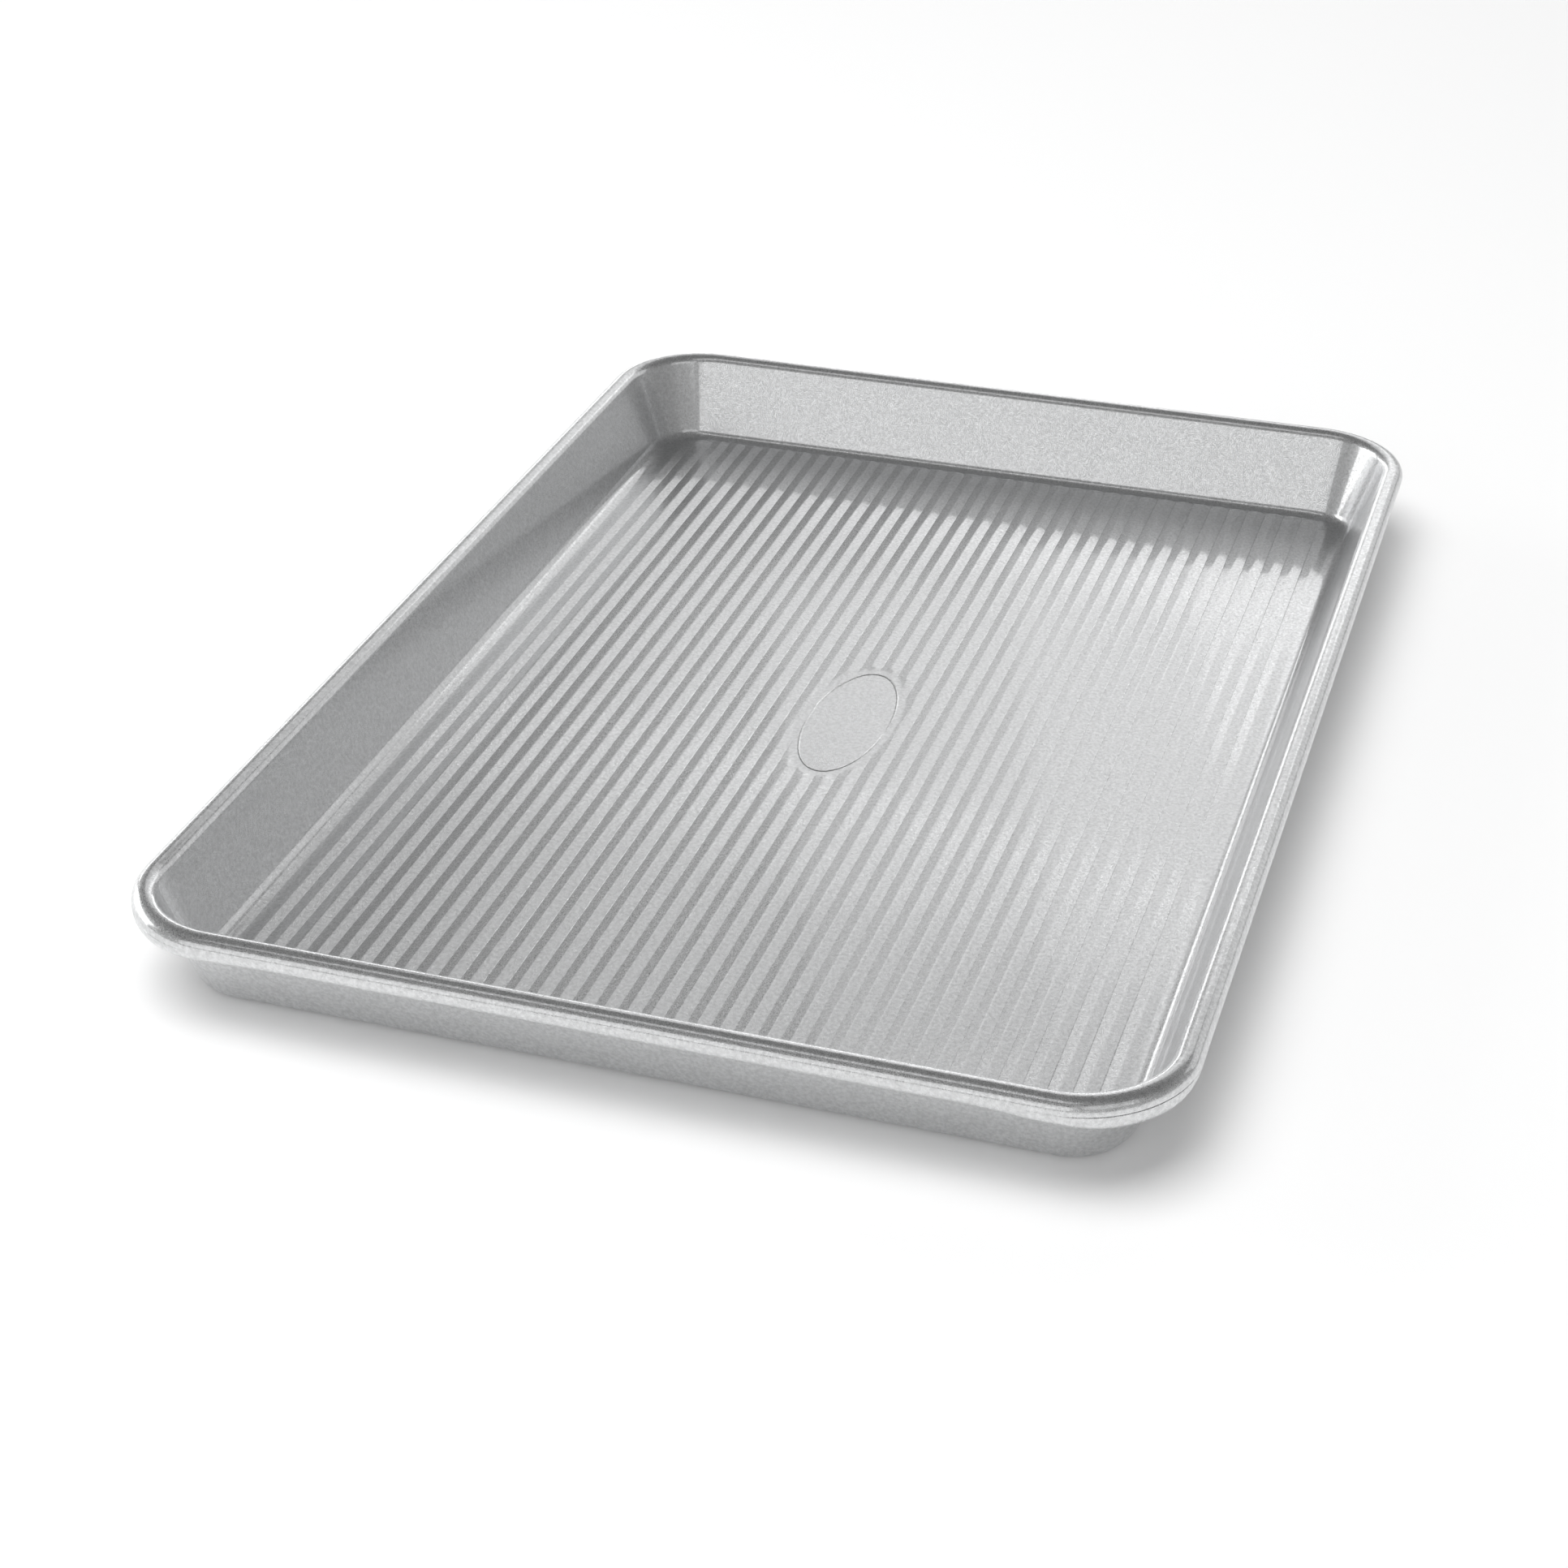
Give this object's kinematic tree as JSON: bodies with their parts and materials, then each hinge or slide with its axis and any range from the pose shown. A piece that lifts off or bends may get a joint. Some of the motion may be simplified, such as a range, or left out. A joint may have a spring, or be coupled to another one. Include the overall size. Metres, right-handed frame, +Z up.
{
  "type": "jelly roll pan",
  "caption": "Shallow rectangular steel baking pan with a fluted base, leaning walls, rounded corners and a rolled rim with a wire inside.",
  "frame": {"origin": "centre of the underside, level with what the pan stands on", "axes": "+Y along the flutes and the pan's length, +X across its width, +Z up out of the pan"},
  "size_m": [0.2668, 0.3908, 0.0266],
  "materials": {
    "sheet_steel": "satin aluminised steel",
    "wire_steel": "drawn steel wire"
  },
  "bodies": {
    "root": {"pan_body": "sheet_steel", "rim_wire": "wire_steel"}
  },
  "joints": []
}
